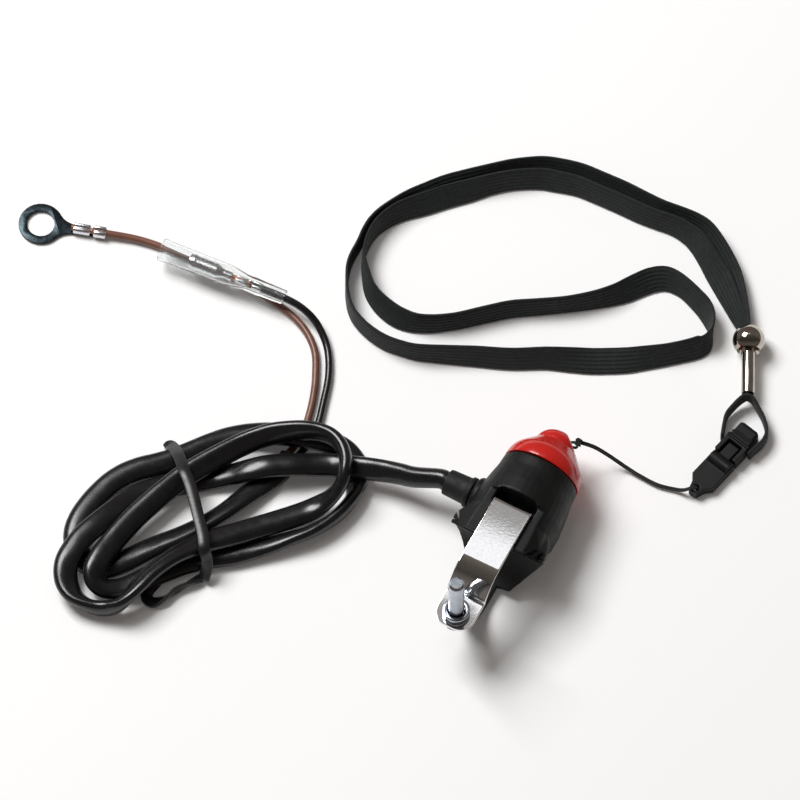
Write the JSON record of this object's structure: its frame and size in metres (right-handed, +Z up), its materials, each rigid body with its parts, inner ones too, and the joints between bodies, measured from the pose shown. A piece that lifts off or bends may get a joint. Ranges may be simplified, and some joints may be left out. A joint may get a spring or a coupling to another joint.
{
  "type": "engine kill switch with lanyard",
  "caption": "Barrel switch with a red pull-off cap on a wrist lanyard, a strap clamp for a handlebar, and a tied lead with ring and bullet terminals.",
  "frame": {"origin": "centre of the switch's box at the surface it lies on, without its lead and lanyard", "axes": "+X along the handlebar, +Y along the barrel towards the red cap, +Z up"},
  "size_m": [0.2369, 0.2056, 0.0409],
  "materials": {
    "black_plastic": "moulded, fine grain",
    "red_plastic": "glossy",
    "black_rubber": "satin",
    "chrome": "polished",
    "zinc": "zinc plated",
    "brass": "plain",
    "black_pvc": "glossy",
    "brown_pvc": "satin",
    "clear_pvc": "clear",
    "tinned_bright": "tin plated",
    "tinned_dark": "dark tin",
    "black_webbing": "woven",
    "nickel": "polished nickel"
  },
  "bodies": {
    "root": {"housing": "black_plastic", "clamp_liner": "black_rubber", "clamp_strap": "chrome", "clamp_screw": "zinc", "clamp_nut": "zinc", "plunger_bush": "black_plastic", "contact_base": "black_plastic", "terminal_left": "brass", "terminal_right": "brass", "return_spring": "zinc", "cable_gland": "black_rubber", "cable": "black_pvc", "cable_coil": "black_pvc", "cable_tie": "black_plastic", "wire_black": "black_pvc", "wire_brown": "brown_pvc", "connector_sleeve": "clear_pvc", "bullet_receptacle": "tinned_bright", "ring_terminal": "tinned_dark"},
    "plunger": {"plunger": "black_plastic", "contact_bridge": "brass"},
    "cap": {"cap": "red_plastic", "lanyard_loop": "black_webbing", "lanyard_knot": "black_webbing", "lanyard_cord": "black_webbing", "clip_plug": "black_plastic"},
    "lanyard": {"clip_socket": "black_plastic", "webbing_loop": "black_webbing", "ferrule": "nickel", "neck_band": "black_webbing"},
    "bead": {"bead": "nickel"}
  },
  "joints": [
    {"name": "cap_pull", "type": "slide", "parent": "root", "child": "cap", "axis": [0, 1, 0], "range_m": [0, 0.02]},
    {"name": "plunger_slide", "type": "slide", "parent": "root", "child": "plunger", "axis": [0, 1, 0], "range_m": [0, 0.003]},
    {"name": "clip_release", "type": "slide", "parent": "cap", "child": "lanyard", "axis": [0.225, 0.9744, 0], "range_m": [0, 0.012]},
    {"name": "bead_slide", "type": "slide", "parent": "lanyard", "child": "bead", "axis": [0.4462, -0.8949, 0], "range_m": [0, 0.01]}
  ],
  "couplings": [
    {"joint": "plunger_slide", "follows": "cap_pull", "ratio": 0.15}
  ]
}
